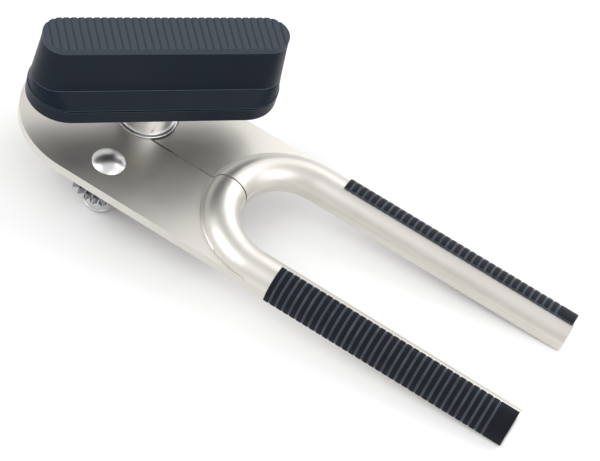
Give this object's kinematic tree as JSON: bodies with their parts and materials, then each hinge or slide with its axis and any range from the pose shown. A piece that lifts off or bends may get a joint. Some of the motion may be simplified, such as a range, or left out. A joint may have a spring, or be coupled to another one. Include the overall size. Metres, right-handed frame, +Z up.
{
  "type": "can opener",
  "caption": "Pliers-type hand can opener: steel handles with dark grips, a large turning knob, a geared toothed feed wheel and a cutting wheel.",
  "frame": {"origin": "middle of the tool's footprint on the surface that it lies on, resting on both wheel ends and both handle ends", "axes": "+X from the head towards the handle ends, +Y towards the handle that swings, +Z up, the knob's side"},
  "size_m": [0.1948, 0.066, 0.0683],
  "materials": {
    "handle_steel": "satin",
    "grip_rubber": "matt",
    "screw_steel": "polished",
    "stud_chrome": "polished",
    "washer_steel": "satin",
    "cap_chrome": "polished",
    "gear_steel": "satin",
    "drum_steel": "polished",
    "feed_wheel_steel": "hardened, tooth faces bright",
    "collar_chrome": "polished",
    "bush_brass": "satin",
    "knob_plastic": "satin",
    "knob_pad": "fine texture",
    "insert_steel": "satin",
    "pin_steel": "satin",
    "washer_chrome": "polished",
    "shaft_steel": "ground",
    "cutter_steel": "ground",
    "nut_chrome": "polished"
  },
  "bodies": {
    "handle_a": {"handle_a_shell": "handle_steel", "grip_a": "grip_rubber", "grip_screws_a": "screw_steel", "wheel_stud": "stud_chrome", "stud_spacer": "washer_steel", "wheel_cap_screw": "cap_chrome"},
    "feed_wheel": {"feed_gear": "gear_steel", "feed_drum": "drum_steel", "feed_wheel": "feed_wheel_steel"},
    "handle_b": {"handle_b_shell": "handle_steel", "grip_b": "grip_rubber", "grip_screws_b": "screw_steel", "pivot_collar": "collar_chrome", "collar_lock_ring": "washer_steel"},
    "shaft_bush": {"shaft_bush": "bush_brass"},
    "knob": {"knob_body": "knob_plastic", "knob_top_pad": "knob_pad", "knob_insert": "insert_steel", "knob_pin": "pin_steel", "knob_washer": "washer_chrome", "drive_shaft": "shaft_steel", "wave_washer": "washer_steel", "drive_gear": "gear_steel", "shaft_spacer": "washer_steel", "cutting_wheel": "cutter_steel", "cutter_nut": "nut_chrome"}
  },
  "joints": [
    {"name": "handle_swing", "type": "hinge", "parent": "handle_a", "child": "handle_b", "pos_m": [-0.05815, 0.00493, 0.02102], "axis": [0.1125, 0, 0.9937], "range_deg": [0, 35]},
    {"name": "bush_roll", "type": "hinge", "parent": "handle_b", "child": "shaft_bush", "pos_m": [-0.05626, 0.00058, 0.02081], "axis": [0.1125, 0, 0.9937], "range_deg": [-51, 0]},
    {"name": "knob_turn", "type": "hinge", "parent": "shaft_bush", "child": "knob", "pos_m": [-0.05626, 0.00058, 0.02081], "axis": [0.1125, 0, 0.9937], "continuous": true},
    {"name": "feed_wheel_spin", "type": "hinge", "parent": "handle_a", "child": "feed_wheel", "pos_m": [-0.05656, -0.02037, 0.02084], "axis": [0.1125, 0, 0.9937], "continuous": true}
  ],
  "couplings": [
    {"joint": "bush_roll", "follows": "handle_swing", "ratio": -1.45},
    {"joint": "feed_wheel_spin", "follows": "knob_turn", "ratio": -1}
  ]
}
